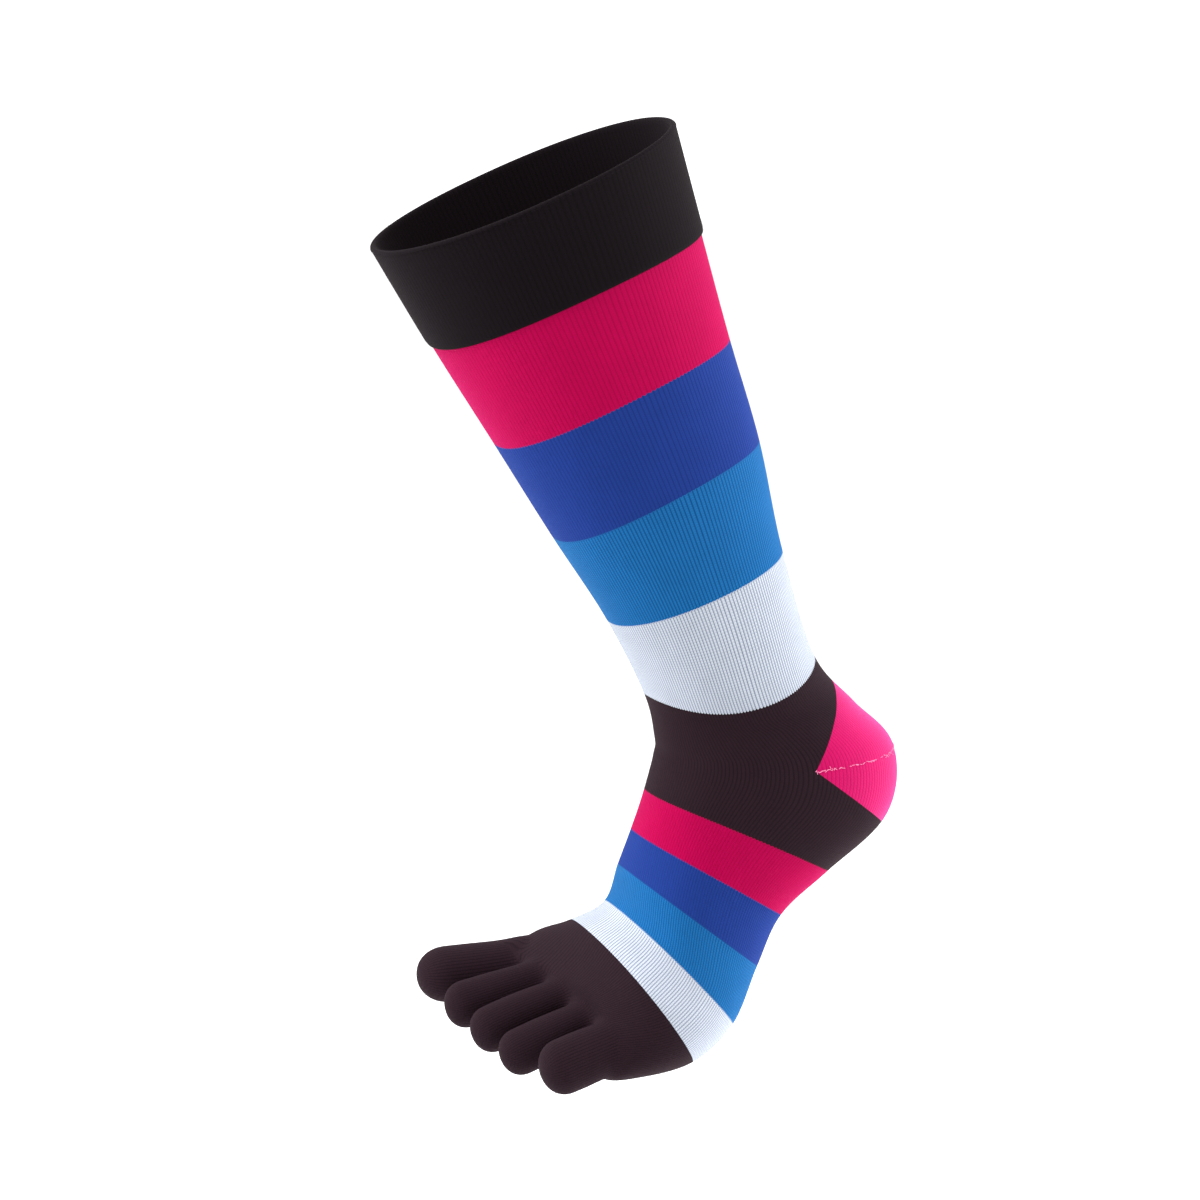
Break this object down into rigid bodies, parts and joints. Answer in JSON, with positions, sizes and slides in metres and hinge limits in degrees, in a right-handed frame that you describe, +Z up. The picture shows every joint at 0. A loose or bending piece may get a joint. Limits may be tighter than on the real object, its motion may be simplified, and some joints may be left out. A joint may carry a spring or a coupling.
{
  "type": "toe sock",
  "caption": "Left toe sock in striped jersey knit: black cuff, ankle and toes, pink heel, and pink, blue and white stripes.",
  "frame": {"origin": "centre of the leg opening", "axes": "+Z up, -X the way the toes point, -Y the outer side of the foot"},
  "size_m": [0.203, 0.1162, 0.3549],
  "materials": {
    "black_cuff": "fine ribless welt, folded double, matt",
    "black_jersey": "plain jersey knit, matt with a faint fuzz",
    "pink_jersey": "plain jersey knit, matt",
    "royal_jersey": "plain jersey knit, matt",
    "sky_jersey": "plain jersey knit, matt",
    "white_jersey": "plain jersey knit, matt, its wales showing as fine grey lines"
  },
  "bodies": {
    "root": {"cuff": "black_cuff", "leg_stripe_pink": "pink_jersey", "leg_stripe_royal": "royal_jersey", "leg_stripe_sky": "sky_jersey", "leg_stripe_white": "white_jersey", "ankle": "black_jersey", "heel_pocket": "pink_jersey", "foot_stripe_pink": "pink_jersey", "foot_stripe_royal": "royal_jersey", "foot_stripe_sky": "sky_jersey", "foot_stripe_white": "white_jersey", "forefoot": "black_jersey", "big_toe": "black_jersey", "second_toe": "black_jersey", "third_toe": "black_jersey", "fourth_toe": "black_jersey", "little_toe": "black_jersey"}
  },
  "joints": []
}
